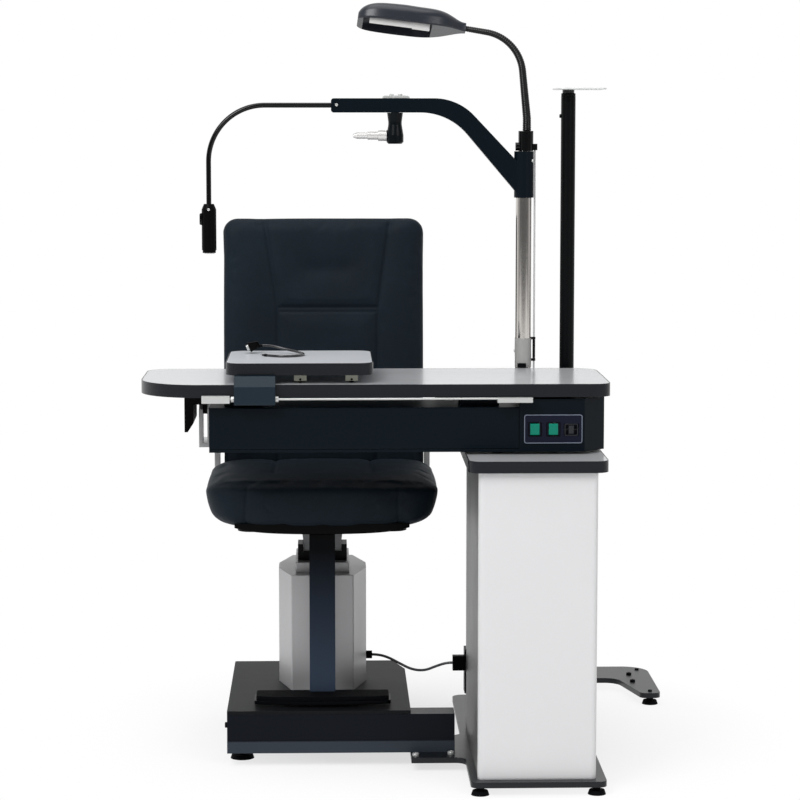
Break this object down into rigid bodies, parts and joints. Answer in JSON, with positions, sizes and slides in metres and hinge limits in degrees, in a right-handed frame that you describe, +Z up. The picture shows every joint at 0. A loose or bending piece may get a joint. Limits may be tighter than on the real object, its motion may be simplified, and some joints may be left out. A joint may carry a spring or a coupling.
{
  "type": "eye examination unit",
  "caption": "Eye examination unit: lifting upholstered chair joined to a cabinet with a swinging instrument table, sliding tray, refractor arm, lamps and a projector pole.",
  "frame": {"origin": "on the floor under the middle of the whole unit", "axes": "+Z up, -Y towards the open front of the table, +X from the chair towards the cabinet"},
  "size_m": [1.184, 1.128, 1.6402],
  "materials": {
    "white_paint": "gloss powder coat",
    "grey_paint": "satin",
    "silver_paint": "satin",
    "navy_paint": "satin",
    "black_paint": "satin",
    "board_white": "gloss",
    "board_edge": "matte",
    "black_plastic": "matte",
    "upholstery": "soft grain",
    "rubber": "matte",
    "chrome": "polished",
    "steel": "brushed",
    "rocker_green": "gloss",
    "switch_white": "gloss",
    "cream_plastic": "satin",
    "lamp_tube": "milky",
    "cable_grey": "matte"
  },
  "bodies": {
    "base": {"cabinet_base_plate": "navy_paint", "levelling_feet": "rubber", "cabinet_front_panel": "white_paint", "cabinet_body": "grey_paint", "cabinet_top_board": "board_white", "cabinet_top_edge": "board_edge", "turntable_base": "steel", "chair_base_beam": "navy_paint", "chair_base_cover": "black_paint", "column_cover": "silver_paint", "lift_guide_tube": "steel", "cable_fittings": "black_plastic", "cord_plug": "black_plastic", "chair_cord": "cable_grey"},
    "lift": {"lift_column": "silver_paint"},
    "seat": {"lift_yoke": "black_paint", "seat_post": "grey_paint", "seat_pan": "black_paint", "seat_cushion": "upholstery", "backrest_cushion": "upholstery", "backrest_shell": "black_plastic", "backrest_bar": "black_paint", "armrest_brackets": "silver_paint", "footrest_frame": "navy_paint", "footrest_mat": "rubber"},
    "armrest_left": {"armrest_left_pad": "black_plastic"},
    "armrest_right": {"armrest_right_pad": "black_plastic"},
    "table": {"turntable_plate": "steel", "table_housing": "navy_paint", "control_panel": "black_plastic", "tabletop": "board_white", "tabletop_edge": "board_edge", "tray_rail": "steel", "pole_bracket": "navy_paint", "chrome_pole": "chrome", "pole_cable": "cable_grey", "projector_mast": "black_paint", "lamp_bracket": "black_paint"},
    "drawer": {"drawer_front": "navy_paint", "drawer_box": "navy_paint"},
    "rocker_left": {"rocker_left": "rocker_green"},
    "rocker_right": {"rocker_right": "rocker_green"},
    "lift_switch": {"lift_switch": "switch_white"},
    "tray": {"tray_board": "board_white", "tray_edge": "board_edge", "tray_bracket": "navy_paint", "roller_forks": "cream_plastic", "lead_connector": "black_plastic", "tray_lead": "rubber"},
    "roller_left": {"roller_left": "rubber"},
    "roller_right": {"roller_right": "rubber"},
    "refractor_arm": {"refractor_arm": "navy_paint"},
    "refractor_hanger": {"refractor_hanger": "black_paint"},
    "near_lamp": {"near_gooseneck": "black_paint", "near_lamp": "black_plastic"},
    "overhead_lamp": {"overhead_gooseneck": "black_paint", "lamp_head": "black_plastic", "lamp_tube": "lamp_tube"},
    "projector_stem": {"projector_stem": "steel"},
    "projector_shelf": {"projector_shelf": "steel"}
  },
  "joints": [
    {"name": "chair_lift", "type": "slide", "parent": "base", "child": "lift", "axis": [0, 0, 1], "range_m": [0, 0.08]},
    {"name": "seat_swivel", "type": "hinge", "parent": "lift", "child": "seat", "pos_m": [-0.212, 0.038, 0.41], "axis": [0, 0, 1], "range_deg": [-25, 12]},
    {"name": "armrest_left_flip", "type": "hinge", "parent": "seat", "child": "armrest_left", "pos_m": [-0.48058, 0.16, 0.728], "axis": [-1, 0, 0], "range_deg": [0, 90]},
    {"name": "armrest_right_flip", "type": "hinge", "parent": "seat", "child": "armrest_right", "pos_m": [0.05658, 0.16, 0.728], "axis": [-1, 0, 0], "range_deg": [0, 90]},
    {"name": "table_swing", "type": "hinge", "parent": "base", "child": "table", "pos_m": [0.233, -0.309, 0.7], "axis": [0, 0, 1], "range_deg": [-5, 90]},
    {"name": "drawer_slide", "type": "slide", "parent": "table", "child": "drawer", "axis": [0, -1, 0], "range_m": [0, 0.13]},
    {"name": "rocker_left_tilt", "type": "hinge", "parent": "table", "child": "rocker_left", "pos_m": [0.231, -0.438, 0.749], "axis": [1, 0, 0], "range_deg": [-6, 6]},
    {"name": "rocker_right_tilt", "type": "hinge", "parent": "table", "child": "rocker_right", "pos_m": [0.2695, -0.438, 0.749], "axis": [1, 0, 0], "range_deg": [-6, 6]},
    {"name": "lift_switch_tilt", "type": "hinge", "parent": "table", "child": "lift_switch", "pos_m": [0.307, -0.438, 0.748], "axis": [1, 0, 0], "range_deg": [-10, 10], "stiffness_Nm_per_rad": 0.05},
    {"name": "tray_slide", "type": "slide", "parent": "table", "child": "tray", "axis": [1, 0, 0], "range_m": [0, 0.45]},
    {"name": "roller_left_spin", "type": "hinge", "parent": "tray", "child": "roller_left", "pos_m": [-0.256, -0.287, 0.85106], "axis": [0, 1, 0], "range_deg": [-10, 3690]},
    {"name": "roller_right_spin", "type": "hinge", "parent": "tray", "child": "roller_right", "pos_m": [-0.149, -0.287, 0.85106], "axis": [0, 1, 0], "range_deg": [-10, 3690]},
    {"name": "arm_swing", "type": "hinge", "parent": "table", "child": "refractor_arm", "pos_m": [0.233, -0.082, 1.27], "axis": [0, 0, 1], "range_deg": [-20, 80]},
    {"name": "hanger_turn", "type": "hinge", "parent": "refractor_arm", "child": "refractor_hanger", "pos_m": [-0.05, -0.082, 1.41], "axis": [0, 0, 1], "range_deg": [-60, 60]},
    {"name": "near_lamp_swing", "type": "hinge", "parent": "refractor_arm", "child": "near_lamp", "pos_m": [-0.178, -0.082, 1.42], "axis": [1, 0, 0], "range_deg": [-45, 45]},
    {"name": "overhead_lamp_swing", "type": "hinge", "parent": "table", "child": "overhead_lamp", "pos_m": [0.239, -0.082, 1.36], "axis": [0, 0, 1], "range_deg": [-60, 60]},
    {"name": "projector_lift", "type": "slide", "parent": "table", "child": "projector_stem", "axis": [0, 0, 1], "range_m": [0, 0.1]},
    {"name": "shelf_turn", "type": "hinge", "parent": "projector_stem", "child": "projector_shelf", "pos_m": [0.332, -0.058, 1.45], "axis": [0, 0, 1], "range_deg": [-40, 60]}
  ],
  "couplings": [
    {"joint": "roller_left_spin", "follows": "tray_slide", "rad_per_m": 142.86},
    {"joint": "roller_right_spin", "follows": "tray_slide", "rad_per_m": 142.86}
  ]
}
